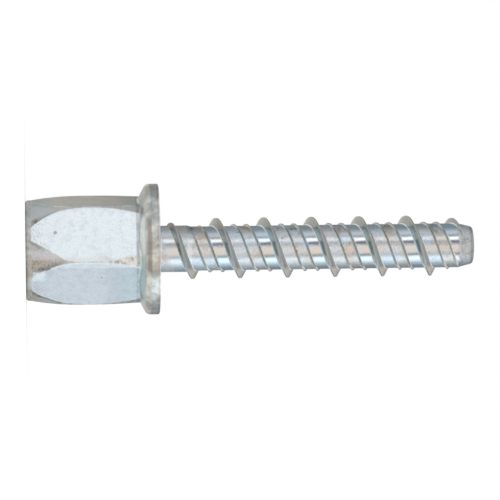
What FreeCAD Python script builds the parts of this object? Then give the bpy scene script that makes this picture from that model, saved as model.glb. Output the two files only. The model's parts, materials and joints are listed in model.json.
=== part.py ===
import FreeCAD, Part
import math
import os

# Rod hanger screw anchor: one cold-forged, zinc-plated steel piece. A hexagonal coupling with a tapped
# socket for a hanging rod carries a coned washer flange. From the flange runs a masonry screw shank with
# one high thread and two low threads between its turns.
#
# The anchor stands on its coupling's mouth with its tip up, and its axis is Z. It is drawn with the
# flange's bearing face at z = 0, the shank above it and the coupling below, and is then lifted until the
# mouth is on the floor.
#
# An angle round the axis is measured from the front, -Y, towards -X.

# Hexagonal coupling, in millimetres
HEX_ACROSS_FLATS = 12.7
HEX_TURN_DEG = 17.7            # the angle of the flat that faces most nearly to the front
HEAD_LENGTH = 16.95            # bearing face to the socket's mouth
CORNER_CUT_BACK = 0.07         # taken off the sharp corners along the crown
CROWN_LENGTH = 5.0             # the level stretch of the corners, between the two slopes
CORNER_SLOPE_AT_MOUTH_DEG = 10.1
CORNER_SLOPE_AT_FLANGE_DEG = 5.2
CORNER_SLOPE_ROUNDING = 19.0   # radius of the gentle turns between the slopes and the crown
COLLAR_LENGTH = 0.7            # round collar at the mouth, past the ends of the flats
COLLAR_STANDS_PROUD = 0.07     # the collar's radius over the flats
COLLAR_EDGE_ROUNDING = 0.35

# Flange
FLANGE_DIAMETER = 16.7
FLANGE_RIM_THICKNESS = 1.65
FLANGE_CONE_DEG = 27.5         # slope of the flange's upper side
RIM_UPPER_ROUNDING = 0.75
RIM_LOWER_CHAMFER = 0.15

# Socket for a 3/8-16 rod
ROD_MAJOR_DIAMETER = 9.525
ROD_DRILL_DIAMETER = 7.94
SOCKET_THREAD_DEPTH = 11.0
SOCKET_DRILL_DEPTH = 12.8
SOCKET_MOUTH_CHAMFER = 0.5
DRILL_POINT_DEG = 118.0

# Shank
SHANK_LENGTH = 40.3
CORE_DIAMETER = 5.66
NECK_DIAMETER = 5.95
NECK_LENGTH = 3.6
NECK_TAPER_LENGTH = 0.6
NECK_FILLET = 0.3
TIP_LENGTH = 1.9
TIP_FACE_DIAMETER = 4.7
TIP_EDGE_ROUNDING = 0.45

# Threads
THREAD_LEAD = 6.1
HIGH_THREAD_DIAMETER = 7.76
HIGH_CREST_WIDTH = 0.16
HIGH_FLANK_DEG = 25.0
HIGH_THREAD_START = 0.35       # a ridge starts and ends inside the core, and shows when it has grown out
HIGH_RUN_IN = 1.8
HIGH_THREAD_END = 40.0
HIGH_RUN_OUT = 3.3
HIGH_THREAD_PHASE = 7.35       # a height at which the high crest points along -X
LOW_THREAD_DIAMETER = 6.15
LOW_CREST_WIDTH = 0            # a sharp crest
LOW_FLANK_DEG = 35.0
FIRST_LOW_THREAD_START = 2.85
SECOND_LOW_THREAD_START = 3.6
LOW_THREAD_END = 39.4
LOW_RUN_IN = 2.2
LOW_RUN_OUT = 1.6
LOW_THREAD_SPACING = 1.62      # between the two low threads
THREAD_ROOT_DEPTH = 0.5        # how far each ridge is rooted inside the core
THREAD_END_DEPTH = 0.42        # how far inside the core each ridge's crest starts and ends

POINTS_PER_TURN = 12
FACES_PER_TURN = 1
ROUNDING_FLAT_DEG = 31         # the widest turn that one flat of a tight rounding takes
GENTLE_TURN_DEG = 15           # a rounding with less turn than this is one true arc
SAME_WAY = 1                   # both edges of a ruled face are followed in the same direction
CONE_OVERLAP = 0.35            # how far the flange's cone reaches in under the flats
HEX_FOOT = 1.0                 # where the coupling ends inside the flange
Z_AXIS = FreeCAD.Vector(0, 0, 1)

FLAT_RADIUS = HEX_ACROSS_FLATS / 2
HEX_CORNER_RADIUS = FLAT_RADIUS / math.cos(math.radians(30))
FLATS_LENGTH = HEAD_LENGTH - COLLAR_LENGTH
FLANGE_RADIUS = FLANGE_DIAMETER / 2
ROD_RADIUS = ROD_MAJOR_DIAMETER / 2
DRILL_RADIUS = ROD_DRILL_DIAMETER / 2
CORE_RADIUS = CORE_DIAMETER / 2
NECK_RADIUS = NECK_DIAMETER / 2
TIP_FACE_RADIUS = TIP_FACE_DIAMETER / 2
HIGH_CREST_RADIUS = HIGH_THREAD_DIAMETER / 2
LOW_CREST_RADIUS = LOW_THREAD_DIAMETER / 2


def at_angle(z, radius, degrees):
    """A point at a height and an angle round the axis."""
    angle = math.radians(degrees)
    return FreeCAD.Vector(-radius * math.sin(angle), -radius * math.cos(angle), z)


def at(z, radius):
    """A point of a half section, which lies at the front."""
    return at_angle(z, radius, 0)


def outline(corners):
    """Edges through corners given as (point, rounding).

    A gentle rounding is an arc. A tight one is a run of short flats along its arc.
    """
    edges = []
    pen = corners[0][0]
    for before, (corner, rounding), after in zip(corners, corners[1:], corners[2:]):
        if not rounding:
            edges.append(Part.makeLine(pen, corner))
            pen = corner
            continue
        back = (before[0] - corner).normalize()
        ahead = (after[0] - corner).normalize()
        turn = math.degrees(math.pi - back.getAngle(ahead))
        setback = rounding * math.tan(math.radians(turn / 2))
        centre = corner + (back + ahead).normalize() * (rounding / math.cos(math.radians(turn / 2)))
        first_spoke = corner + back * setback - centre
        last_spoke = corner + ahead * setback - centre
        swing_axis = first_spoke.cross(last_spoke)

        def on_arc(share):
            return centre + FreeCAD.Rotation(swing_axis, turn * share).multVec(first_spoke)

        if turn < GENTLE_TURN_DEG:
            edges.append(Part.makeLine(pen, on_arc(0)))
            edges.append(Part.Arc(on_arc(0), on_arc(0.5), on_arc(1)).toShape())
            pen = on_arc(1)
            stops = []
        else:
            flats = math.ceil(turn / ROUNDING_FLAT_DEG)
            stops = [on_arc(index / flats) for index in range(flats + 1)]
        for stop in stops:
            edges.append(Part.makeLine(pen, stop))
            pen = stop
    edges.append(Part.makeLine(pen, corners[-1][0]))
    return edges


def turned(edges):
    """The solid that a half section makes when it turns once round the axis."""
    ends = [edges[0].firstVertex().Point, edges[-1].lastVertex().Point]
    section = Part.Wire(edges + [Part.makeLine(ends[1], ends[0])])
    return Part.Face(section).revolve(FreeCAD.Vector(0, 0, 0), Z_AXIS, 360)


def hex_coupling():
    """The barrel-shaped hexagon: a hexagonal bar held inside a turned blank that thins towards both ends."""
    mouth_radius = FLAT_RADIUS + COLLAR_STANDS_PROUD
    crown_radius = HEX_CORNER_RADIUS - CORNER_CUT_BACK
    mouth_slope = math.tan(math.radians(CORNER_SLOPE_AT_MOUTH_DEG))
    flange_slope = math.tan(math.radians(CORNER_SLOPE_AT_FLANGE_DEG))
    crown_start = -FLATS_LENGTH + (crown_radius - mouth_radius) / mouth_slope
    crown_end = crown_start + CROWN_LENGTH
    foot_radius = crown_radius - (-HEX_FOOT - crown_end) * flange_slope
    blank = turned(outline([
        (at(-FLATS_LENGTH, 0), 0),
        (at(-FLATS_LENGTH, mouth_radius), 0),
        (at(crown_start, crown_radius), CORNER_SLOPE_ROUNDING),
        (at(crown_end, crown_radius), CORNER_SLOPE_ROUNDING),
        (at(-HEX_FOOT, foot_radius), 0),
        (at(-HEX_FOOT, 0), 0),
    ]))
    corners = [at_angle(-FLATS_LENGTH, HEX_CORNER_RADIUS, HEX_TURN_DEG + 30 + 60 * side) for side in range(7)]
    bar = Part.Face(Part.makePolygon(corners)).extrude(Z_AXIS * FLATS_LENGTH)
    return blank.common(bar).Solids[0]


def mouth_collar():
    """The round collar at the socket's mouth, where the flats have run out."""
    radius = FLAT_RADIUS + COLLAR_STANDS_PROUD
    return turned(outline([
        (at(-FLATS_LENGTH, 0), 0),
        (at(-FLATS_LENGTH, radius), 0),
        (at(-HEAD_LENGTH, radius), COLLAR_EDGE_ROUNDING),
        (at(-HEAD_LENGTH, 0), 0),
    ]))


def flange_and_shank():
    """The coned flange, the neck with its fillet, the plain core of the screw and its blunt, tapered tip."""
    cone_top_radius = FLAT_RADIUS - CONE_OVERLAP
    cone_rise = (FLANGE_RADIUS - cone_top_radius) * math.tan(math.radians(FLANGE_CONE_DEG))
    cone_top = -(FLANGE_RIM_THICKNESS + cone_rise)
    return turned(outline([
        (at(cone_top, 0), 0),
        (at(cone_top, cone_top_radius), 0),
        (at(-FLANGE_RIM_THICKNESS, FLANGE_RADIUS), RIM_UPPER_ROUNDING),
        (at(-RIM_LOWER_CHAMFER, FLANGE_RADIUS), 0),
        (at(0, FLANGE_RADIUS - RIM_LOWER_CHAMFER), 0),
        (at(0, NECK_RADIUS), NECK_FILLET),
        (at(NECK_LENGTH, NECK_RADIUS), 0),
        (at(NECK_LENGTH + NECK_TAPER_LENGTH, CORE_RADIUS), 0),
        (at(SHANK_LENGTH - TIP_LENGTH, CORE_RADIUS), 0),
        (at(SHANK_LENGTH, TIP_FACE_RADIUS), TIP_EDGE_ROUNDING),
        (at(SHANK_LENGTH, 0), 0),
    ]))


def socket():
    """What is taken out of the coupling: a chamfered bore the size of the rod, then the drilled end."""
    mouth = -HEAD_LENGTH
    bore_end = mouth + SOCKET_THREAD_DEPTH
    drill_end = mouth + SOCKET_DRILL_DEPTH
    drill_point = drill_end + DRILL_RADIUS / math.tan(math.radians(DRILL_POINT_DEG / 2))
    return turned(outline([
        (at(mouth, 0), 0),
        (at(mouth, ROD_RADIUS + SOCKET_MOUTH_CHAMFER), 0),
        (at(mouth + SOCKET_MOUTH_CHAMFER, ROD_RADIUS), 0),
        (at(bore_end, ROD_RADIUS), 0),
        (at(bore_end, DRILL_RADIUS), 0),
        (at(drill_end, DRILL_RADIUS), 0),
        (at(drill_point, 0), 0),
    ]))


def eased(share):
    """A share from 0 to 1 that leaves and arrives gently."""
    share = min(max(share, 0), 1)
    return share * share * (3 - 2 * share)


def ridge(phase, start, end, run_in, run_out, crest_radius, crest_width, flank_deg):
    """One right-hand thread ridge that grows out of the core, keeps its height and sinks back into it.

    Its crest points along -X at z = phase. A crest of no width is a sharp edge.
    """
    root_radius = CORE_RADIUS - THREAD_ROOT_DEPTH
    sunk_radius = CORE_RADIUS - THREAD_END_DEPTH
    spans = math.ceil((end - start) / THREAD_LEAD * POINTS_PER_TURN)
    stations = [start + (end - start) * index / spans for index in range(spans + 1)]
    sections = []
    for z in stations:
        height = eased((z - start) / run_in) * eased((end - z) / run_out)
        radius = sunk_radius + (crest_radius - sunk_radius) * height
        half_root = crest_width / 2 + (radius - root_radius) * math.tan(math.radians(flank_deg))
        degrees = 90 - 360 * (z - phase) / THREAD_LEAD
        crest = [at_angle(z, radius, degrees)]
        if crest_width:
            crest = [at_angle(z + side * crest_width / 2, radius, degrees) for side in (-1, 1)]
        root = [at_angle(z + side * half_root, root_radius, degrees) for side in (-1, 1)]
        sections.append([root[0]] + crest + [root[1]])
    curves = []
    for track in zip(*sections):
        curve = Part.BSplineCurve()
        curve.interpolate(Points=list(track), Parameters=stations)
        curves.append(curve)
    reaches = round((end - start) / THREAD_LEAD * FACES_PER_TURN)
    joints = [start + (end - start) * index / reaches for index in range(reaches + 1)]
    faces = [Part.Face(Part.makePolygon(section + section[:1])) for section in (sections[0], sections[-1])]
    for reach_start, reach_end in zip(joints, joints[1:]):
        edges = [curve.toShape(reach_start, reach_end) for curve in curves]
        for edge, next_edge in zip(edges, edges[1:] + edges[:1]):
            faces.append(Part.makeRuledSurface(edge, next_edge, SAME_WAY))
    shell = Part.Shell(faces)
    shell.sewShape()
    solid = Part.Solid(shell)
    return solid if solid.Volume > 0 else solid.complement()


def thread_ridges():
    """The high thread and the pair of low threads half-way between its turns."""
    high = ridge(HIGH_THREAD_PHASE, HIGH_THREAD_START, HIGH_THREAD_END, HIGH_RUN_IN, HIGH_RUN_OUT,
                 HIGH_CREST_RADIUS, HIGH_CREST_WIDTH, HIGH_FLANK_DEG)
    first_low_phase = HIGH_THREAD_PHASE + (THREAD_LEAD - LOW_THREAD_SPACING) / 2
    second_low_phase = first_low_phase + LOW_THREAD_SPACING
    first_low = ridge(first_low_phase, FIRST_LOW_THREAD_START, LOW_THREAD_END, LOW_RUN_IN, LOW_RUN_OUT,
                      LOW_CREST_RADIUS, LOW_CREST_WIDTH, LOW_FLANK_DEG)
    second_low = ridge(second_low_phase, SECOND_LOW_THREAD_START, LOW_THREAD_END, LOW_RUN_IN, LOW_RUN_OUT,
                       LOW_CREST_RADIUS, LOW_CREST_WIDTH, LOW_FLANK_DEG)
    return [high, first_low, second_low]


outside = flange_and_shank().fuse([hex_coupling(), mouth_collar()] + thread_ridges())
anchor = outside.cut(socket()).removeSplitter().Solids[0]
anchor.translate(Z_AXIS * HEAD_LENGTH)

os.makedirs("parts", exist_ok=True)
anchor.exportStep("parts/hanger_anchor.step")
box = anchor.optimalBoundingBox(False, False)
print("hanger_anchor: valid", anchor.isValid(), "solids", len(anchor.Solids), "faces", len(anchor.Faces))
print("size %.2f x %.2f x %.2f mm, volume %.1f mm3" % (box.XLength, box.YLength, box.ZLength, anchor.Volume))
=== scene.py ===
# %% [markdown]
# A rod hanger screw anchor is one piece of zinc-plated steel. It has a hexagonal coupling with a threaded
# socket, a coned flange and a masonry screw with one high thread and two low ones. The solid comes from
# the CAD frame, in metres. It stands on the coupling's mouth, its axis is Z, and the photo is taken from
# the -Y side with the tip to the right.

# %% Load the frame
import json
import math

import bpy
from mathutils import Matrix, Vector


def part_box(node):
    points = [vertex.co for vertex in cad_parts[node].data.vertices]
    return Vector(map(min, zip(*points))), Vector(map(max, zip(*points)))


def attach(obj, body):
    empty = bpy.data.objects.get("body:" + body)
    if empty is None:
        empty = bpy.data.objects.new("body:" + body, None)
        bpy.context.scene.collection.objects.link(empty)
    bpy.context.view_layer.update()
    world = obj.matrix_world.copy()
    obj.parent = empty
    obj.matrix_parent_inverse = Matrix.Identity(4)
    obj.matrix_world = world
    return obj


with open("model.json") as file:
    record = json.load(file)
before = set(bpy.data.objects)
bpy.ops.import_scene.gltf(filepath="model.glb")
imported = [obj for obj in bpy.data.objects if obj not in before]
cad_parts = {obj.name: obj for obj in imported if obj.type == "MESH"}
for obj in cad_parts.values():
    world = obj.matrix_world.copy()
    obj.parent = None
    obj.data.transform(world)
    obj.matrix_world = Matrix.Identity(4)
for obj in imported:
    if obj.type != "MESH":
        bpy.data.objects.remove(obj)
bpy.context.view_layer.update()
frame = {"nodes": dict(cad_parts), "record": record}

# %% [markdown]
# All later places hang on a few heights and radii of the real part. The record states the socket and the
# flange's bearing face, and the tip is the top of the CAD model's box, so they are read from there and
# not typed again.

# %% Read the main sizes
MM = 0.001
mounts = {mount["name"]: mount for mount in frame["record"]["mounts"]}
anchor = frame["nodes"]["hanger_anchor"]

ROD_RADIUS = mounts["rod_socket"]["dims"]["r_mm"] * MM
BORE_LENGTH = mounts["rod_socket"]["dims"]["length_mm"] * MM
BORE_START = mounts["rod_socket"]["pos_m"][2] - BORE_LENGTH / 2
BORE_END = BORE_START + BORE_LENGTH
BEARING_HEIGHT = mounts["bearing_face"]["pos_m"][2]
TIP_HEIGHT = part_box("hanger_anchor")[1].z
print("bearing face at %.2f mm, tip at %.2f mm" % (BEARING_HEIGHT / MM, TIP_HEIGHT / MM))

# %% [markdown]
# The socket takes a 3/8-16 hanging rod. A tap cuts its thread, and what is left between the grooves is a
# ridge that winds up the wall. The CAD solid has only the plain wall, so the ridge is its own piece. It
# could be modelled ring by ring, but a Screw modifier sweeps one small profile along the helix and keeps
# the pitch exact. The profile starts as a plane, is pulled into a trapezoid and loses its face, so that
# the sweep stays hollow until its ends are filled.

# %% Draw the profile of the rod thread
THREADS_PER_INCH = 16
PITCH = 25.4 * MM / THREADS_PER_INCH
RIDGE_HEIGHT = 0.79 * MM
ROOT_WIDTH = PITCH * 7 / 8
CREST_WIDTH = PITCH / 4
WALL_OVERLAP = 0.08 * MM


def deselect_all():
    """Leave nothing selected, so that the next operator meets only what is added or picked."""
    bpy.ops.object.select_all(action="DESELECT")


def pick_vertices(piece, wanted):
    """Select in edit mode exactly the vertices whose place passes the test."""
    bpy.ops.mesh.select_all(action="DESELECT")
    bpy.ops.object.mode_set(mode="OBJECT")
    for vertex in piece.data.vertices:
        vertex.select = wanted(vertex.co)
    bpy.ops.object.mode_set(mode="EDIT")


deselect_all()
crest_radius = ROD_RADIUS - RIDGE_HEIGHT
root_radius = ROD_RADIUS + WALL_OVERLAP
bpy.ops.mesh.primitive_plane_add(size=1, rotation=(math.radians(90), 0, 0))
rod_thread = bpy.context.object
rod_thread.name = rod_thread.data.name = "rod_thread"
rod_thread.scale = (root_radius - crest_radius, ROOT_WIDTH, 1)
rod_thread.location = ((root_radius + crest_radius) / 2, 0, BORE_START - PITCH / 4)
bpy.ops.object.transform_apply(location=True, rotation=True, scale=True)

bpy.ops.object.mode_set(mode="EDIT")
bpy.ops.mesh.delete(type="ONLY_FACE")
pick_vertices(rod_thread, lambda corner: corner.x < (root_radius + crest_radius) / 2)
bpy.ops.transform.resize(value=(1, 1, CREST_WIDTH / ROOT_WIDTH))
bpy.ops.object.mode_set(mode="OBJECT")
print("profile corners:", [tuple(round(c / MM, 3) for c in v.co) for v in rod_thread.data.vertices])

# %% [markdown]
# One turn of the sweep rises by one pitch, and the sweep runs past both ends of the wall. Where its turns
# meet, the vertices are merged. Then its two open ends are filled, and all faces are turned outwards.

# %% Sweep the ridge
STEPS_PER_TURN = 64
TURNS = math.ceil((BORE_END - BORE_START) / PITCH) + 1
MEETING_WITHIN = 0.0005 * MM


def apply_modifier(piece, kind, **settings):
    """Add a modifier with these settings and apply it at once."""
    modifier = piece.modifiers.new(kind.lower(), kind)
    for name, value in settings.items():
        setattr(modifier, name, value)
    bpy.context.view_layer.objects.active = piece
    bpy.ops.object.modifier_apply(modifier=modifier.name)


apply_modifier(rod_thread, "SCREW", axis="Z", angle=math.tau, screw_offset=PITCH, iterations=TURNS,
               steps=STEPS_PER_TURN, render_steps=STEPS_PER_TURN, use_merge_vertices=True)

bpy.ops.object.mode_set(mode="EDIT")
bpy.ops.mesh.select_all(action="SELECT")
bpy.ops.mesh.remove_doubles(threshold=MEETING_WITHIN)
bpy.ops.mesh.fill_holes(sides=0)
bpy.ops.mesh.select_all(action="SELECT")
bpy.ops.mesh.normals_make_consistent(inside=False)
bpy.ops.object.mode_set(mode="OBJECT")
print("swept %d turns of %.4f mm" % (TURNS, PITCH / MM))

# %% [markdown]
# The upper end is cut level inside the steel. The countersink at the mouth cuts the lower end, as it does
# on the real part, with a cone that is taken away by a Boolean modifier. The cuts leave a few slivers,
# which are merged away.

# %% Cut both ends of the ridge
SLIVER_WIDTH = 0.003 * MM
SMOOTH_BELOW = math.radians(25)

bpy.ops.object.mode_set(mode="EDIT")
bpy.ops.mesh.select_all(action="SELECT")
bpy.ops.mesh.bisect(plane_co=(0, 0, BORE_END + WALL_OVERLAP), plane_no=(0, 0, 1), clear_outer=True,
                    use_fill=True)
bpy.ops.object.mode_set(mode="OBJECT")

deselect_all()
countersink_height = 2 * RIDGE_HEIGHT + 4 * WALL_OVERLAP
bpy.ops.mesh.primitive_cone_add(vertices=STEPS_PER_TURN, depth=2 * countersink_height,
                                radius1=ROD_RADIUS + countersink_height,
                                radius2=ROD_RADIUS - countersink_height,
                                location=(0, 0, BORE_START))
countersink = bpy.context.object
apply_modifier(rod_thread, "BOOLEAN", operation="DIFFERENCE", object=countersink, solver="EXACT")
bpy.data.objects.remove(countersink)

deselect_all()
rod_thread.select_set(True)
bpy.context.view_layer.objects.active = rod_thread
bpy.ops.object.mode_set(mode="EDIT")
bpy.ops.mesh.select_all(action="SELECT")
bpy.ops.mesh.remove_doubles(threshold=SLIVER_WIDTH)
bpy.ops.object.mode_set(mode="OBJECT")
bpy.ops.object.shade_smooth_by_angle(angle=SMOOTH_BELOW)
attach(rod_thread, "root")
heights = [vertex.co.z / MM for vertex in rod_thread.data.vertices]
print("rod thread: %d faces, from %.2f to %.2f mm up"
      % (len(rod_thread.data.polygons), min(heights), max(heights)))

# %% [markdown]
# The zinc plating is one metal all over, but it doesn't look the same all over. The pressed flats are
# bright and even, the turned and forged surfaces are duller with tan and brown stains, and the rolled
# shank is smooth between its threads and stained at their roots. One material does all of it. It reads
# Object coordinates, where Z is the height and the distance from Z is the radius, so every mask is a
# short sum of nodes and needs no image and no unwrapped map.

# %% Small helpers for nodes
zinc = bpy.data.materials.new("zinc_plated_steel")
zinc.use_nodes = True
tree = zinc.node_tree
shader = tree.nodes["Principled BSDF"]


def link_or_set(owner, socket, value):
    """Plug another node's socket in, or write a plain value."""
    if isinstance(value, bpy.types.NodeSocket):
        owner.links.new(value, socket)
    else:
        socket.default_value = value


def sums(operation, first, second=0.0, third=0.0, owner=None):
    """One step of arithmetic on numbers or sockets."""
    owner = owner or tree
    node = owner.nodes.new("ShaderNodeMath")
    node.operation = operation
    for socket, value in zip(node.inputs, (first, second, third)):
        link_or_set(owner, socket, value)
    return node.outputs[0]


def ramp_between(value, low, high, owner=None):
    """A soft step: 0 below low, 1 above high (or the other way round, where low is the larger)."""
    owner = owner or tree
    node = owner.nodes.new("ShaderNodeMapRange")
    node.interpolation_type = "SMOOTHSTEP"
    flip = low > high
    for name, number in (("From Min", min(low, high)), ("From Max", max(low, high)),
                         ("To Min", float(flip)), ("To Max", float(not flip))):
        node.inputs[name].default_value = number
    link_or_set(owner, node.inputs["Value"], value)
    return node.outputs[0]


print("node helpers ready for", zinc.name)

# %% [markdown]
# A few measures carry all the masks: the height, the radius, the angle round the axis from the front
# towards -X, and how far a point lies from the axis square to the nearest flat of the hexagon. On a
# pressed flat the last one equals half the width across flats, and on the rounded corners it is less, so
# the flats' curved outlines come out of the form itself.

# %% Measure where a point lies on the head
DEG = math.radians(1)
HEX_HALF_WIDTH = 6.35 * MM
HEX_TURN = 17.7 * DEG
HALF_SIDE = 30 * DEG

place = tree.nodes.new("ShaderNodeTexCoord").outputs["Object"]
axes = tree.nodes.new("ShaderNodeSeparateXYZ")
tree.links.new(place, axes.inputs[0])
across, depth, height = axes.outputs
radius = sums("SQRT", sums("MULTIPLY_ADD", across, across, sums("MULTIPLY", depth, depth)))
angle = sums("ARCTAN2", sums("MULTIPLY", across, -1), sums("MULTIPLY", depth, -1))
past_a_corner = sums("WRAP", sums("SUBTRACT", angle, HEX_TURN - HALF_SIDE), 2 * HALF_SIDE, 0)
from_flat = sums("SUBTRACT", past_a_corner, HALF_SIDE)
flat_distance = sums("MULTIPLY", radius, sums("COSINE", from_flat))
print("flats lie %.2f mm from the axis" % (HEX_HALF_WIDTH / MM))

# %% [markdown]
# On the shank, height and angle together tell where a point lies between two turns of the high thread.
# The fraction of a turn is 0 and 1 at its crest, and the two low threads lie a little under and over a
# half. The surface's own direction tells a flank that faces the head from one that faces the tip.

# %% Measure where a point lies on the shank
THREAD_LEAD = 6.1 * MM
CREST_HEIGHT = BEARING_HEIGHT + 7.35 * MM
CREST_TURN = 0.75
LOW_THREAD_SHIFT = 0.133

turns_up = sums("DIVIDE", sums("SUBTRACT", height, CREST_HEIGHT), THREAD_LEAD)
turns = sums("MULTIPLY_ADD", angle, 1 / math.tau, turns_up)
between_threads = sums("FRACT", sums("ADD", turns, CREST_TURN))
from_half = sums("ABSOLUTE", sums("SUBTRACT", between_threads, 0.5))
from_low_thread = sums("ABSOLUTE", sums("SUBTRACT", from_half, LOW_THREAD_SHIFT))
from_tip = sums("SUBTRACT", TIP_HEIGHT, height)

surface_normal = tree.nodes.new("ShaderNodeNewGeometry").outputs["Normal"]
facing = tree.nodes.new("ShaderNodeSeparateXYZ")
tree.links.new(surface_normal, facing.inputs[0])
tilt_up = facing.outputs[2]
print("the thread rises %.1f mm a turn" % (THREAD_LEAD / MM))

# %% [markdown]
# Edges are painted bright, partly as worn zinc and partly as painted highlights where their rounding
# catches the light. A Bevel node gives the direction that a surface would have if its edges were rounded.
# Where that differs from the true direction, an edge is near, and the dot product of the two falls below
# 1.

# %% Find the edges that are painted bright
EDGE_REACH = 0.35 * MM
FAINTEST_EDGE = 0.001
SHARP_EDGE = 0.008

rounded = tree.nodes.new("ShaderNodeBevel")
rounded.samples = 8
rounded.inputs["Radius"].default_value = EDGE_REACH
alike = tree.nodes.new("ShaderNodeVectorMath")
alike.operation = "DOT_PRODUCT"
tree.links.new(rounded.outputs[0], alike.inputs[0])
tree.links.new(surface_normal, alike.inputs[1])
edge_turn = sums("SUBTRACT", 1.0, alike.outputs["Value"])
on_edge = ramp_between(edge_turn, FAINTEST_EDGE, SHARP_EDGE)
print("edges reach %.2f mm" % (EDGE_REACH / MM))

# %% [markdown]
# Each mask is a soft step of one measure, and goes from 0 to 1. A mask that needs several conditions is
# the product of their steps. These masks divide the head along its axis into the collar, the prism, the
# flange's cone and its rim, and mark the three lines round it where painted shade goes: the flange's
# foot, the rim's edge and the rim's end.

# %% Masks along the head
COLLAR_HEIGHT = 0.7 * MM
FLANGE_FOOT = 14.2 * MM
RIM_START = BEARING_HEIGHT - 1.9 * MM
RIM_EDGE = BEARING_HEIGHT - 1.36 * MM


def overlap(*masks):
    """A mask that is 1 only where all of these are. A number among them makes it weaker."""
    product = masks[0]
    for mask in masks[1:]:
        product = sums("MULTIPLY", product, mask)
    return product


def outside(mask):
    """The mask turned over."""
    return sums("SUBTRACT", 1.0, mask)


def window(value, low, high, soft):
    """A mask that is 1 from low to high and fades out over a soft border on both sides."""
    return overlap(ramp_between(value, low - soft, low), ramp_between(value, high + soft, high))


on_head = ramp_between(height, BEARING_HEIGHT + 0.15 * MM, BEARING_HEIGHT + 0.05 * MM)
on_collar = ramp_between(height, COLLAR_HEIGHT + 0.15 * MM, COLLAR_HEIGHT - 0.1 * MM)
above_foot = ramp_between(height, FLANGE_FOOT, FLANGE_FOOT + 0.3 * MM)
on_prism = overlap(outside(above_foot), outside(on_collar))
on_flange = overlap(on_head, above_foot)
on_rim = overlap(on_head, ramp_between(height, RIM_START - 0.2 * MM, RIM_START + 0.2 * MM))
on_cone = overlap(on_flange, outside(on_rim))
past_rim_edge = overlap(on_head, ramp_between(height, RIM_EDGE - 0.1 * MM, RIM_EDGE + 0.3 * MM))
before_rim_edge = overlap(on_flange, outside(past_rim_edge))

on_foot_line = window(height, FLANGE_FOOT - 0.15 * MM, FLANGE_FOOT + 0.05 * MM, 0.2 * MM)
on_rim_edge = window(height, RIM_EDGE - 0.15 * MM, RIM_EDGE + 0.15 * MM, 0.25 * MM)
on_rim_end = overlap(on_head, ramp_between(tilt_up, 0.8, 0.5),
                     ramp_between(height, BEARING_HEIGHT - 0.35 * MM, BEARING_HEIGHT - 0.2 * MM))
print("flange from %.1f mm, rim from %.2f mm up" % (FLANGE_FOOT / MM, RIM_START / MM))

# %% [markdown]
# The flats aren't all alike. On the upper one in the photo, one border near the mouth is worn away along
# a slanting line, which is dirty where it reaches the mouth, and the lower one gets a painted highlight
# on a corner there. Dirt lies beside the flats' borders, and the edges are worn and painted bright.

# %% Masks of the flats
WORN_LINE_START = 14.5 * DEG
WORN_LINE_SLOPE = 5.0 * DEG / MM
LEVEL_WITHIN = 0.004 * MM

slanting = sums("MULTIPLY_ADD", height, WORN_LINE_SLOPE, angle)
worn_border = overlap(ramp_between(slanting, WORN_LINE_START + 1 * DEG, WORN_LINE_START - 1 * DEG),
                      ramp_between(angle, -13 * DEG, -11 * DEG))
worn_line = overlap(window(slanting, WORN_LINE_START - 3 * DEG, WORN_LINE_START - 1 * DEG, 2 * DEG),
                    ramp_between(height, 2.6 * MM, 1.6 * MM))
level = ramp_between(flat_distance, HEX_HALF_WIDTH - LEVEL_WITHIN, HEX_HALF_WIDTH - LEVEL_WITHIN / 4)
# A painted highlight on the lower flat's corner near the mouth, which counts as flat.
highlight_corner = overlap(window(angle, -35 * DEG, -27 * DEG, 4 * DEG),
                        window(height, 1.1 * MM, 2.1 * MM, 0.6 * MM))
on_flat = overlap(on_prism, sums("MAXIMUM", overlap(level, outside(worn_border)), highlight_corner))
beside_flat = ramp_between(flat_distance, HEX_HALF_WIDTH - 0.30 * MM, HEX_HALF_WIDTH - 0.12 * MM)
on_flat_border = overlap(on_prism, outside(on_flat), beside_flat, outside(worn_border))
# Edges that are painted bright, partly as wear and partly as painted highlight.
worn_and_highlit_edge = overlap(on_prism, outside(worn_border), on_edge)

near_mouth = ramp_between(height, 5.5 * MM, 3.5 * MM)
near_flange = ramp_between(height, 9.5 * MM, 11.5 * MM)
near_ends = sums("MAXIMUM", ramp_between(height, 4.5 * MM, 2.0 * MM),
                 ramp_between(height, 10.5 * MM, 14.0 * MM))
print("flats are level within %.3f mm" % (LEVEL_WITHIN / MM))

# %% [markdown]
# Many marks lie on one side of the head only. The angle is 0 in front and 90 degrees at the top of the
# photo. The front corner, between the upper flat and the lower one, lies at -12 degrees, and the upper
# corner, between the upper flat and the one on top, at 48 degrees.

# %% Masks round the head
on_lower_flats = ramp_between(angle, -14 * DEG, -22 * DEG)
on_top_flat = window(angle, 50 * DEG, 105 * DEG, 2 * DEG)
lower_flat_highlight = overlap(window(angle, -18 * DEG, -12 * DEG, 3 * DEG), outside(near_mouth))
upper_flat_sheen = window(angle, -12 * DEG, -10 * DEG, 4 * DEG)

on_front_corner = overlap(on_prism, window(angle, -28 * DEG, 5 * DEG, 12 * DEG))
below_front_corner = window(angle, -21 * DEG, -13 * DEG, 4 * DEG)
above_front_corner = window(angle, -7 * DEG, -3 * DEG, 5 * DEG)
on_upper_corner = window(angle, 42 * DEG, 62 * DEG, 6 * DEG)
from_upper_corner = window(angle, 44 * DEG, 100 * DEG, 10 * DEG)

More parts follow.
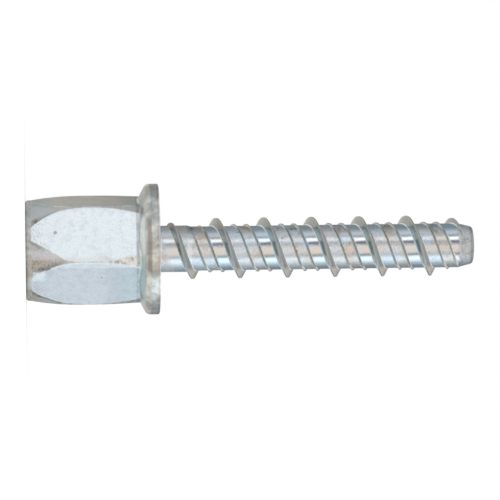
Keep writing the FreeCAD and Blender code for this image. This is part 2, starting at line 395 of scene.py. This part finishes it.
on_top_side = ramp_between(angle, 30 * DEG, 46 * DEG)
on_front_side = window(angle, -4 * DEG, 28 * DEG, 11 * DEG)
on_lower_side = ramp_between(angle, -4 * DEG, -14 * DEG)
on_under_side = ramp_between(angle, -44 * DEG, -58 * DEG)
rim_highlight_spot = window(angle, -40 * DEG, -28 * DEG, 10 * DEG)
far_round = ramp_between(sums("ABSOLUTE", angle), 44 * DEG, 58 * DEG)
print("front corner at %.1f degrees" % ((HEX_TURN - HALF_SIDE) / DEG))

# %% [markdown]
# The shank has a smooth strip of core just before each turn of the high thread and a rougher one after
# it. The flanks and crests stand further from the axis than the core, and the neck beside the head has
# no low threads.

# %% Masks of the shank
CORE_RADIUS = 2.83 * MM
LOW_CREST_RADIUS = 3.08 * MM
HIGH_CREST_RADIUS = 3.88 * MM

on_thread = ramp_between(radius, CORE_RADIUS + 0.03 * MM, CORE_RADIUS + 0.15 * MM)
on_high_thread = ramp_between(radius, LOW_CREST_RADIUS - 0.03 * MM, LOW_CREST_RADIUS + 0.12 * MM)
on_high_crest = ramp_between(radius, HIGH_CREST_RADIUS - 0.22 * MM, HIGH_CREST_RADIUS - 0.08 * MM)
on_head_flank = overlap(on_thread, ramp_between(tilt_up, -0.35, -0.65))
on_tip_flank = overlap(on_thread, ramp_between(tilt_up, 0.35, 0.65))
past_neck = ramp_between(height, BEARING_HEIGHT + 2.5 * MM, BEARING_HEIGHT + 3.5 * MM)
near_low_threads = overlap(past_neck, ramp_between(from_low_thread, 0.055, 0.020))
on_low_crest = overlap(near_low_threads,
                       ramp_between(radius, CORE_RADIUS + 0.08 * MM, CORE_RADIUS + 0.18 * MM))
before_high_thread = window(between_threads, 0.70, 0.95, 0.05)
after_high_thread = outside(before_high_thread)
between_low_threads = window(between_threads, 0.40, 0.60, 0.04)

in_front = window(angle, -14 * DEG, 8 * DEG, 10 * DEG)
near_neck = ramp_between(height, BEARING_HEIGHT + 10 * MM, BEARING_HEIGHT + 5 * MM)
on_upper_half = ramp_between(across, -0.5 * MM, -2.4 * MM)
on_top_edge = ramp_between(across, -2.2 * MM, -2.9 * MM)
on_low_edge = ramp_between(across, 2.2 * MM, 2.9 * MM)
on_tip_end = ramp_between(from_tip, 0.6 * MM, 0.3 * MM)
print("thread masks from %.2f mm radius" % (CORE_RADIUS / MM))

# %% [markdown]
# Noise of several sizes breaks the masks up, so that their borders look worn and not drawn. A few larger
# pits in the plating come from a Voronoi pattern, whose distance is small only near its points. The tip
# was left rough by the shears that cut the wire, and noise makes its border uneven too.

# %% Noise, pits and the rough tip
PIT_SPACING = 2.3 * MM
PIT_BORDER = 0.085
PIT_MIDDLE = 0.045
TIP_LENGTH = 2.0 * MM
TIP_UNEVENNESS = 1.6 * MM


def grain(size, detail, roughness=0.55, length=1.0):
    """Noise whose blotches are about this size, and this many times as long along the axis."""
    drawn_out = tree.nodes.new("ShaderNodeMapping")
    drawn_out.inputs["Scale"].default_value = (1, 1, 1 / length)
    tree.links.new(place, drawn_out.inputs["Vector"])
    node = tree.nodes.new("ShaderNodeTexNoise")
    node.inputs["Scale"].default_value = 1 / size
    node.inputs["Detail"].default_value = detail
    node.inputs["Roughness"].default_value = roughness
    tree.links.new(drawn_out.outputs[0], node.inputs["Vector"])
    return node.outputs["Fac"]


blotches = grain(2.4 * MM, detail=4.0)
spots = grain(1.7 * MM, detail=2.0)
mottle = grain(0.9 * MM, detail=4.0, roughness=0.6)
speckle = grain(0.32 * MM, detail=5.0, roughness=0.7)
freckle = grain(0.18 * MM, detail=3.0, roughness=0.6)
scratches = grain(0.35 * MM, detail=3.0, roughness=0.6, length=9.0)

worn = ramp_between(blotches, 0.40, 0.62)
pale_spots = ramp_between(spots, 0.46, 0.62)
patches = ramp_between(mottle, 0.45, 0.65)
dots = ramp_between(speckle, 0.60, 0.70)
many_dots = ramp_between(speckle, 0.48, 0.60)
freckles = ramp_between(freckle, 0.42, 0.62)
streaks = ramp_between(scratches, 0.42, 0.62)

pits = tree.nodes.new("ShaderNodeTexVoronoi")
pits.inputs["Scale"].default_value = 1 / PIT_SPACING
tree.links.new(place, pits.inputs["Vector"])
on_pit = ramp_between(pits.outputs["Distance"], PIT_BORDER, PIT_MIDDLE)

uneven_height = sums("MULTIPLY_ADD", mottle, TIP_UNEVENNESS, from_tip)
on_tip = ramp_between(uneven_height, TIP_LENGTH + 1.15 * MM, TIP_LENGTH + 0.5 * MM)
print("rough tip: the last %.1f mm" % (TIP_LENGTH / MM))

# %% [markdown]
# Metal has no colour of its own besides the tint of its mirror image, so Base Color is that tint. Clean
# zinc is a pale, slightly blue grey. Each flat met its own jaw of the press and has its own tone. The one
# on top, at 90 degrees round the axis, is darker and browner, partly stained and partly painted shade.
# The tones are the steps of a colour ramp, one for each sixth of a turn.

# %% Give each flat its tone
def linear(red, green, blue):
    """A colour as seen on a screen, from 0 to 1, as the linear colour that a shader takes."""
    return tuple(((c + 0.055) / 1.055) ** 2.4 for c in (red, green, blue)) + (1.0,)


def fill_ramp(ramp, stops):
    """Give a new colour ramp these stops, each a position from 0 to 1 and a colour."""
    ramp.elements.remove(ramp.elements[1])
    for number, (position, colour) in enumerate(stops):
        stop = ramp.elements[0] if number == 0 else ramp.elements.new(position)
        stop.position = position
        stop.color = colour


# Clean zinc also paints highlights along the head's edges, on one flat border and on one corner.
CLEAN_ZINC_AND_HIGHLIGHT = linear(0.975, 0.99, 1.0)
FIRST_FLAT_FROM = HEX_TURN - 5 * HALF_SIDE
# The fourth tone, on the top flat, is darker partly as painted shade.
FLAT_TONES_AND_SHADE = [linear(0.93, 0.93, 0.95), linear(0.88, 0.88, 0.895), CLEAN_ZINC_AND_HIGHLIGHT,
              linear(0.90, 0.855, 0.815), linear(0.94, 0.95, 0.96), linear(0.88, 0.88, 0.89)]

flat_tones_and_shade = tree.nodes.new("ShaderNodeValToRGB")
flat_tones_and_shade.color_ramp.interpolation = "CONSTANT"
fill_ramp(flat_tones_and_shade.color_ramp, [(number / 6, tone) for number, tone in enumerate(FLAT_TONES_AND_SHADE)])
share_of_turn = sums("DIVIDE", sums("SUBTRACT", angle, FIRST_FLAT_FROM), math.tau)
tree.links.new(sums("FRACT", share_of_turn), flat_tones_and_shade.inputs[0])
flat_tone_and_shade = flat_tones_and_shade.outputs[0]
print("tones of flats:", len(flat_tones_and_shade.color_ramp.elements))

# %% [markdown]
# Stains are laid over the tone one after another, each where its mask says, and some layers are painted
# light and shade. Near the flange the lower flats get a teal, darker painted shade. The brown one is
# greyer towards its ends and has long streaks. Along the front corner the lower flat's border gets a
# painted highlight and the upper flat's a tan painted reflection, and the lower flat's corner near the
# mouth a painted highlight. All of them have faint sooty patches and, near the mouth, freckles, and the
# upper one has a small brown dent.

# %% Stain the flats
# The dark and brown stain colours also paint shade, and the tan one a painted reflection, where the masks
# below say so.
DARK_STAIN_AND_SHADE = linear(0.34, 0.33, 0.33)
BROWN_STAIN_AND_SHADE = linear(0.55, 0.48, 0.42)
TAN_STAIN_AND_SHEEN = linear(0.84, 0.78, 0.73)
GREY_STAIN = linear(0.79, 0.80, 0.78)
# A teal that is used as painted shade.
TEAL_SHADE = linear(0.84, 0.94, 0.95)
DENT_SIZE = 0.32 * MM
DENT_PLACE = Vector((-2.2, -5.95, 3.75)) * MM


def blend(share, first, second, owner=None):
    """A colour that goes from the first to the second as the share goes from 0 to 1."""
    owner = owner or tree
    node = owner.nodes.new("ShaderNodeMix")
    node.data_type = "RGBA"
    link_or_set(owner, node.inputs[0], share)
    link_or_set(owner, node.inputs[6], first)
    link_or_set(owner, node.inputs[7], second)
    return node.outputs[2]


def stained(tint, layers):
    """Lay one colour after another over the tint, each where its mask says."""
    for mask, colour in layers:
        tint = blend(mask, tint, colour)
    return tint


def stepped(mask, low, high):
    """A number that goes from low to high with the mask."""
    return sums("MULTIPLY_ADD", mask, high - low, low)


from_dent = tree.nodes.new("ShaderNodeVectorMath")
from_dent.operation = "DISTANCE"
tree.links.new(place, from_dent.inputs[0])
from_dent.inputs[1].default_value = DENT_PLACE
in_dent = ramp_between(from_dent.outputs["Value"], DENT_SIZE, DENT_SIZE / 2)

pressed = stained(flat_tone_and_shade, [
    # Painted shade: the lower flats are tinted teal and darker near the flange.
    (overlap(near_ends, near_flange, on_lower_flats, 0.35), TEAL_SHADE),
    (overlap(near_flange, on_lower_flats, 0.12), DARK_STAIN_AND_SHADE),
    (overlap(near_ends, on_top_flat, 0.9), GREY_STAIN),
    (overlap(streaks, on_top_flat, 0.12), BROWN_STAIN_AND_SHADE),
    # Painted highlight: the lower flat's border along the front corner is brightened.
    (overlap(lower_flat_highlight, 0.55), CLEAN_ZINC_AND_HIGHLIGHT),
    # Painted reflection: the upper flat's border along the front corner is tinted tan.
    (overlap(upper_flat_sheen, stepped(patches, 0.2, 0.5)), TAN_STAIN_AND_SHEEN),
    # Painted highlight on the lower flat's corner near the mouth.
    (highlight_corner, CLEAN_ZINC_AND_HIGHLIGHT),
    (overlap(patches, 0.10), DARK_STAIN_AND_SHADE),
    (overlap(freckles, ramp_between(height, 3.0 * MM, 1.2 * MM), 0.18), BROWN_STAIN_AND_SHADE),
    (overlap(in_dent, 0.6), BROWN_STAIN_AND_SHADE),
])
print("dent %.1f mm above the mouth" % (DENT_PLACE.z / MM))

# %% [markdown]
# The forged corners and the turned collar are duller than the flats and have tan blotches. Near the mouth
# the front corner is speckled brown, most of all on its lower side, with a paler rubbed band above, and
# the upper corner is grey. Near the mouth the underside is painted darker as painted shade. Near the
# flange the front corner is pale. The collar has brown stains.

# %% Tint the corners and the collar
FORGED_ZINC = linear(0.84, 0.84, 0.84)
# Pale forged zinc also paints the cone's lit front and a highlight on the rim.
PALE_FORGED_AND_SHEEN = linear(0.99, 0.98, 0.96)
LILAC_FORGED = linear(0.95, 0.94, 0.97)
GREY_FORGED = linear(0.80, 0.815, 0.82)

pale_with_tan = blend(overlap(patches, 0.7), PALE_FORGED_AND_SHEEN, TAN_STAIN_AND_SHEEN)
forged = stained(FORGED_ZINC, [
    (overlap(worn, 0.75), TAN_STAIN_AND_SHEEN),
    (overlap(near_mouth, on_front_corner, many_dots, 0.25), BROWN_STAIN_AND_SHADE),
    (overlap(near_mouth, below_front_corner, stepped(many_dots, 0.18, 0.58)), BROWN_STAIN_AND_SHADE),
    (overlap(near_mouth, above_front_corner, 0.5), LILAC_FORGED),
    (overlap(worn_line, 0.3), DARK_STAIN_AND_SHADE),
    (overlap(near_mouth, on_upper_corner, 0.7), GREY_FORGED),
    # Painted shade: the underside near the mouth is darkened.
    (overlap(near_mouth, on_under_side, 0.25), DARK_STAIN_AND_SHADE),
    (overlap(near_flange, on_front_corner, 0.9), pale_with_tan),
    (overlap(on_collar, 0.3), PALE_FORGED_AND_SHEEN),
    (overlap(on_collar, stepped(patches, 0.15, 0.45)), BROWN_STAIN_AND_SHADE),
])
print("corners and collar tinted")

# %% [markdown]
# The flange's cone is painted darker on top, pale in front and teal below: painted light and shade for
# what it reflects. Its rim has brown stains, pale spots and one painted highlight below the front, and
# the cone and rim are painted browner and darker far round from the front, as painted shade. The whole
# flange is speckled.

# %% Tint the flange
# How much the cone's top is darkened as painted shade.
CONE_TOP_SHADE = 0.26

shaded_cone_top = blend(CONE_TOP_SHADE, FORGED_ZINC, DARK_STAIN_AND_SHADE)
forged = stained(forged, [
    # Painted light and shade on the cone: darker on top, pale in front, teal below.
    (overlap(on_cone, on_top_side), shaded_cone_top),
    (overlap(on_cone, on_front_side), PALE_FORGED_AND_SHEEN),
    (overlap(on_cone, on_lower_side, 0.8), TEAL_SHADE),
    # Painted shade: the cone and rim are browner far round from the front.
    (overlap(before_rim_edge, far_round, 0.5), BROWN_STAIN_AND_SHADE),
    # A painted highlight below the front of the rim, with real pale spots.
    (overlap(on_rim, sums("MAXIMUM", rim_highlight_spot, overlap(pale_spots, 0.8))), PALE_FORGED_AND_SHEEN),
    (overlap(on_rim, stepped(patches, 0.13, 0.41)), BROWN_STAIN_AND_SHADE),
    # Painted shade: the rim is darker far round from the front.
    (overlap(on_rim, far_round, 0.10), DARK_STAIN_AND_SHADE),
    (overlap(on_flange, freckles, 0.12), PALE_FORGED_AND_SHEEN),
    (overlap(on_flange, dots, 0.35), DARK_STAIN_AND_SHADE),
])
print("flange tinted")

# %% [markdown]
# Last come the lines. Dark lines are painted along the rim's edge, most of all in front, along the rim's
# end and along the foot of the flange, and they are painted shade. Dirt sits along the flats' borders.
# The dirt and the foot's painted shadow are weaker from the upper corner to the top, and the edges, worn
# and painted bright, shine through the dirt.

# %% Draw the painted shade lines, the dirt and the bright edges
border_dirt = sums("ADD", overlap(patches, 0.45), overlap(near_mouth, 0.35))
# How strongly the rim's edge is darkened as painted shade, most of all in front.
rim_edge_shade = stepped(window(angle, -18 * DEG, 24 * DEG, 8 * DEG), 0.10, 0.65)
# Painted shadow along the flange's foot, weaker below the front corner.
less_below = overlap(ramp_between(angle, -8 * DEG, -16 * DEG), 0.2)
foot_shadow = sums("SUBTRACT", stepped(patches, 0.36, 0.48), less_below)
forged = stained(forged, [
    # Painted shade: a dark line along the rim's edge.
    (overlap(on_rim_edge, rim_edge_shade), BROWN_STAIN_AND_SHADE),
    # Painted shadow along the rim's end, beside the bearing face.
    (overlap(on_rim_end, 0.30), DARK_STAIN_AND_SHADE),
    (overlap(on_flat_border, border_dirt, stepped(from_upper_corner, 1.0, 0.3)), DARK_STAIN_AND_SHADE),
])
head_tint = stained(blend(on_flat, forged, pressed), [
    # Edges brightened, partly worn zinc and partly painted highlight.
    (overlap(worn_and_highlit_edge, ramp_between(blotches, 0.38, 0.55)), CLEAN_ZINC_AND_HIGHLIGHT),
    # Painted shadow along the flange's foot.
    (overlap(on_foot_line, foot_shadow, stepped(from_upper_corner, 1.0, 0.6)), DARK_STAIN_AND_SHADE),
    (overlap(freckles, 0.10), DARK_STAIN_AND_SHADE),
])
print("head tint ready")

# %% [markdown]
# The thread was rolled, and the rolls left the flanks duller than the core. The flanks that face the head
# are painted teal, darkest at the front of the high thread, as painted shade, and beige at their upper
# edge as a painted reflection. The flanks that face the tip are grey, with a beige painted reflection at
# their lower edge, and the low threads have a faint teal cast. Tan stains sit between the low threads.
# On the upper half the shank is painted browner between the low threads, after the high thread and
# towards the neck, as painted shade, and the rough strips are speckled. The crests are grey, and the
# sheared tip is grey with soot.

# %% Tint the shank
SHANK_ZINC = linear(0.895, 0.918, 0.945)
ORANGE_STAIN = linear(0.96, 0.86, 0.76)
# The dark and teal flank colours paint shade on the flanks that face the head.
DARK_FLANK_SHADE = linear(0.42, 0.52, 0.54)
TEAL_FLANK = linear(0.69, 0.755, 0.775)
GREY_FLANK = linear(0.60, 0.61, 0.60)
BEIGE_EDGE_SHEEN = linear(0.66, 0.65, 0.615)
CREST_ZINC = linear(0.70, 0.70, 0.68)
TIP_ZINC = linear(0.77, 0.77, 0.775)

head_flank_shade = blend(overlap(on_high_thread, in_front), TEAL_FLANK, DARK_FLANK_SHADE)
tip_soot = sums("ADD", overlap(many_dots, 0.2), overlap(patches, 0.3))
shank_tint = stained(SHANK_ZINC, [
    (overlap(between_low_threads, worn, 0.5), TAN_STAIN_AND_SHEEN),
    # Painted shade: the upper half is browner between the low threads.
    (overlap(between_low_threads, on_upper_half, patches, 0.75), BROWN_STAIN_AND_SHADE),
    (overlap(worn, 0.35), ORANGE_STAIN),
    (overlap(near_low_threads, 0.15), TEAL_FLANK),
    (overlap(after_high_thread, many_dots, 0.20), BROWN_STAIN_AND_SHADE),
    # Painted shade: the upper half is browner after the high thread and towards the neck.
    (overlap(after_high_thread, on_upper_half, 0.18), BROWN_STAIN_AND_SHADE),
    (overlap(on_upper_half, near_neck, stepped(after_high_thread, 0.15, 0.35)), BROWN_STAIN_AND_SHADE),
    # Painted shade on the flanks that face the head, darkest in front, with a painted beige reflection at
    # the upper edge.
    (on_head_flank, blend(on_top_edge, head_flank_shade, BEIGE_EDGE_SHEEN)),
    # Tip-facing flanks are grey, with a painted beige reflection at the lower edge.
    (on_tip_flank, blend(on_low_edge, GREY_FLANK, BEIGE_EDGE_SHEEN)),
    (sums("MAXIMUM", on_high_crest, overlap(on_low_crest, 0.7)), CREST_ZINC),
    (on_tip, blend(tip_soot, TIP_ZINC, DARK_STAIN_AND_SHADE)),
    (overlap(on_tip_end, 0.5), DARK_STAIN_AND_SHADE),
])
tint = stained(blend(on_head, shank_tint, head_tint), [
    (overlap(dots, 0.30), BROWN_STAIN_AND_SHADE),
    (overlap(on_pit, 0.6), BROWN_STAIN_AND_SHADE),
])
tree.links.new(tint, shader.inputs["Base Color"])
shader.inputs["Metallic"].default_value = 1.0
print("tint linked to", shader.name)

# %% [markdown]
# Roughness sets how much a mirror image is smeared. The core is the smoothest part, most of all just
# before the high thread, and shows the studio's softboxes as long stripes. The pressed flats are satin,
# and the forged surfaces and the tip are dull.

# %% Set the shine
CORE_ROUGHNESS = 0.32
SMOOTH_CORE_ROUGHNESS = 0.17
THREAD_ROUGHNESS_MORE = 0.06
TIP_ROUGHNESS = 0.50
FORGED_ROUGHNESS = 0.50
PRESSED_ROUGHNESS = 0.34
RIM_ROUGHNESS = 0.32

core_shine = stepped(before_high_thread, CORE_ROUGHNESS, SMOOTH_CORE_ROUGHNESS)
thread_shine = sums("MULTIPLY_ADD", on_thread, THREAD_ROUGHNESS_MORE, core_shine)
shank_shine = sums("MAXIMUM", thread_shine, overlap(on_tip, TIP_ROUGHNESS))
head_shine = sums("ADD", stepped(on_flange, FORGED_ROUGHNESS, RIM_ROUGHNESS),
                  overlap(on_flat, PRESSED_ROUGHNESS - FORGED_ROUGHNESS))
shine = sums("ADD", overlap(shank_shine, outside(on_head)), overlap(head_shine, on_head))
tree.links.new(shine, shader.inputs["Roughness"])
print("roughness from %.2f to %.2f" % (SMOOTH_CORE_ROUGHNESS, FORGED_ROUGHNESS))

# %% [markdown]
# The Bevel node rounds the shading of edges that are sharp in the mesh, more on the forged head than on
# the small threads. The Bump node adds the fine unevenness of the forging's skin, from a small and a wide
# noise. The shank was rolled smooth and has less of the wide one.

# %% Round the edges and roughen the skin
THREAD_EDGE = 0.09 * MM
HEAD_EDGE = 0.28 * MM
SKIN_DEPTH = 0.04 * MM
SKIN_STRENGTH = 0.6
SPECKLE_RELIEF = 0.35
SHANK_RELIEF = 0.35
HEAD_RELIEF = 1.25

bevel = tree.nodes.new("ShaderNodeBevel")
bevel.samples = 4
tree.links.new(stepped(on_head, THREAD_EDGE, HEAD_EDGE), bevel.inputs["Radius"])
relief = tree.nodes.new("ShaderNodeBump")
relief.inputs["Distance"].default_value = SKIN_DEPTH
relief.inputs["Strength"].default_value = SKIN_STRENGTH
wide_lumps = overlap(mottle, stepped(on_head, SHANK_RELIEF, HEAD_RELIEF))
lumps = sums("MULTIPLY_ADD", speckle, SPECKLE_RELIEF, wide_lumps)
tree.links.new(lumps, relief.inputs["Height"])
tree.links.new(bevel.outputs[0], relief.inputs["Normal"])
tree.links.new(relief.outputs[0], shader.inputs["Normal"])

for piece in (anchor, rod_thread):
    piece.data.materials.clear()
    piece.data.materials.append(zinc)
print("material set on", anchor.name, "and", rod_thread.name)

# %% [markdown]
# A mirror-like part shows its surroundings more than itself. A product photo of bright metal is made in a
# tent with white softboxes and a few dark cards between them, and they show as stripes along a round
# shank. This is the order of the walls, boxes and cards round the anchor's axis. A value over 1 is
# brighter than white paper. Right behind the anchor the brown wall turns white, up to a seam.

# %% Choose the walls and cards of the tent
WHITE = (1.0, 1.0, 1.0, 1.0)
WHITE_BOX = linear(1.14, 1.17, 1.18)
BLUE_BOX = linear(1.05, 1.13, 1.18)
GREY_WALL = linear(0.80, 0.83, 0.85)
DIM_WALL = linear(0.62, 0.67, 0.70)
LOWER_WALL = linear(0.76, 0.82, 0.86)
PALE_WALL = linear(0.92, 0.92, 0.91)
BEIGE_WALL = linear(0.95, 0.90, 0.85)
GREY_CARD = linear(0.58, 0.62, 0.65)
DARK_CARD = linear(0.41, 0.44, 0.49)
TEAL_WALL = linear(0.50, 0.565, 0.595)
BROWN_WALL = linear(0.52, 0.49, 0.455)

# Angle round the axis in degrees, from the camera's side towards the top of the picture.
TENT = [(-180, BROWN_WALL), (-150, TEAL_WALL), (-124, TEAL_WALL), (-96, LOWER_WALL), (-74, BLUE_BOX),
        (-57, BLUE_BOX), (-50, GREY_CARD), (-41, GREY_CARD), (-33, BEIGE_WALL), (-18, BEIGE_WALL),
        (-6, PALE_WALL), (9, PALE_WALL), (14, DARK_CARD), (26, DARK_CARD), (33, WHITE_BOX),
        (44, WHITE_BOX), (50, GREY_CARD), (56, GREY_CARD), (64, GREY_WALL), (76, GREY_WALL),
        (92, DIM_WALL), (108, TEAL_WALL), (140, TEAL_WALL), (155, BROWN_WALL), (180, WHITE)]
print("stops round the tent:", len(TENT))

# %% [markdown]
# The world plays the tent. Its colour depends on the direction round the axis, through a colour ramp, and
# the stripes fade into a bright ceiling overhead. The camera sees plain white instead.

# %% Build the studio tent in the world
CEILING = linear(1.11, 1.105, 1.10)
CEILING_FROM = 0.35
CEILING_FULL = 0.75

world = bpy.data.worlds.new("studio_tent")
bpy.context.scene.world = world
world.use_nodes = True
sky = world.node_tree
sky.nodes.clear()
direction = sky.nodes.new("ShaderNodeSeparateXYZ")
sky.links.new(sky.nodes.new("ShaderNodeTexCoord").outputs["Generated"], direction.inputs[0])
round_angle = sums("ARCTAN2", sums("MULTIPLY", direction.outputs[0], -1, owner=sky),
                   sums("MULTIPLY", direction.outputs[1], -1, owner=sky), owner=sky)
turn_share = sums("MULTIPLY_ADD", round_angle, 1 / math.tau, 0.5, owner=sky)
stripes = sky.nodes.new("ShaderNodeValToRGB")
fill_ramp(stripes.color_ramp, [(degrees / 360 + 0.5, colour) for degrees, colour in TENT])
sky.links.new(turn_share, stripes.inputs[0])
overhead = ramp_between(direction.outputs[2], CEILING_FROM, CEILING_FULL, owner=sky)
tent = blend(overhead, stripes.outputs[0], CEILING, owner=sky)
seen = sky.nodes.new("ShaderNodeLightPath").outputs["Is Camera Ray"]
backdrop = sky.nodes.new("ShaderNodeBackground")
sky.links.new(blend(seen, tent, WHITE, owner=sky), backdrop.inputs["Color"])
sky.links.new(backdrop.outputs[0], sky.nodes.new("ShaderNodeOutputWorld").inputs[0])
print("tent stripes:", len(stripes.color_ramp.elements))

# %% [markdown]
# The floor is a wide sheet of white paper. It carries the anchor's shadow, and the shiny metal sees it
# from above as a shaded card.

# %% Lay the floor
FLOOR_WIDTH = 3.0
SHADED_PAPER = linear(0.90, 0.92, 0.92)

deselect_all()
bpy.ops.mesh.primitive_plane_add(size=FLOOR_WIDTH)
floor = bpy.context.object
floor.name = "floor"
paper = bpy.data.materials.new("white_paper")
paper.use_nodes = True
sheet = paper.node_tree
matt = sheet.nodes["Principled BSDF"]
matt.inputs["Roughness"].default_value = 1.0
matt.inputs["Specular IOR Level"].default_value = 0.0
glossy = sheet.nodes.new("ShaderNodeLightPath").outputs["Is Glossy Ray"]
sheet.links.new(blend(glossy, WHITE, SHADED_PAPER, owner=sheet), matt.inputs["Base Color"])
floor.data.materials.append(paper)
print("floor is", FLOOR_WIDTH, "m wide")

# %% [markdown]
# The photo looks square at the shank, from 3.5 degrees on the head's side, with the tip to the right. So
# the camera stands on the -Y side and is rolled by a quarter turn. Its axes are worked out from the
# anchor's axis and the direction of view, and written into its matrix.

# %% Place the camera
SIDE_TILT = math.radians(3.5)
ROLL = math.radians(0.74)
CAMERA_DISTANCE = 0.435
FOCAL_LENGTH = 244.7
AIM_BEYOND_BEARING = 11.69 * MM
AIM_SIDEWAYS = 0.28 * MM
SENSOR_WIDTH = 36
NEAREST_SEEN = 0.01

towards_camera = Vector((0, -math.cos(SIDE_TILT), -math.sin(SIDE_TILT)))
axis_in_view = Vector((0, -math.sin(SIDE_TILT), math.cos(SIDE_TILT)))
side_in_view = Vector((-1, 0, 0))
to_the_right = axis_in_view * math.cos(ROLL) - side_in_view * math.sin(ROLL)
upwards = side_in_view * math.cos(ROLL) + axis_in_view * math.sin(ROLL)
aim = Vector((AIM_SIDEWAYS, 0, BEARING_HEIGHT + AIM_BEYOND_BEARING))

bpy.ops.object.camera_add()
camera = bpy.context.object
camera.data.lens = FOCAL_LENGTH
camera.data.sensor_width = SENSOR_WIDTH
camera.data.clip_start = NEAREST_SEEN
turn = Matrix((to_the_right, upwards, towards_camera)).transposed()
camera.matrix_world = Matrix.Translation(aim + towards_camera * CAMERA_DISTANCE) @ turn.to_4x4()
bpy.context.scene.camera = camera
bpy.context.scene.view_settings.view_transform = "Standard"
print("camera at", tuple(round(c, 4) for c in camera.location))
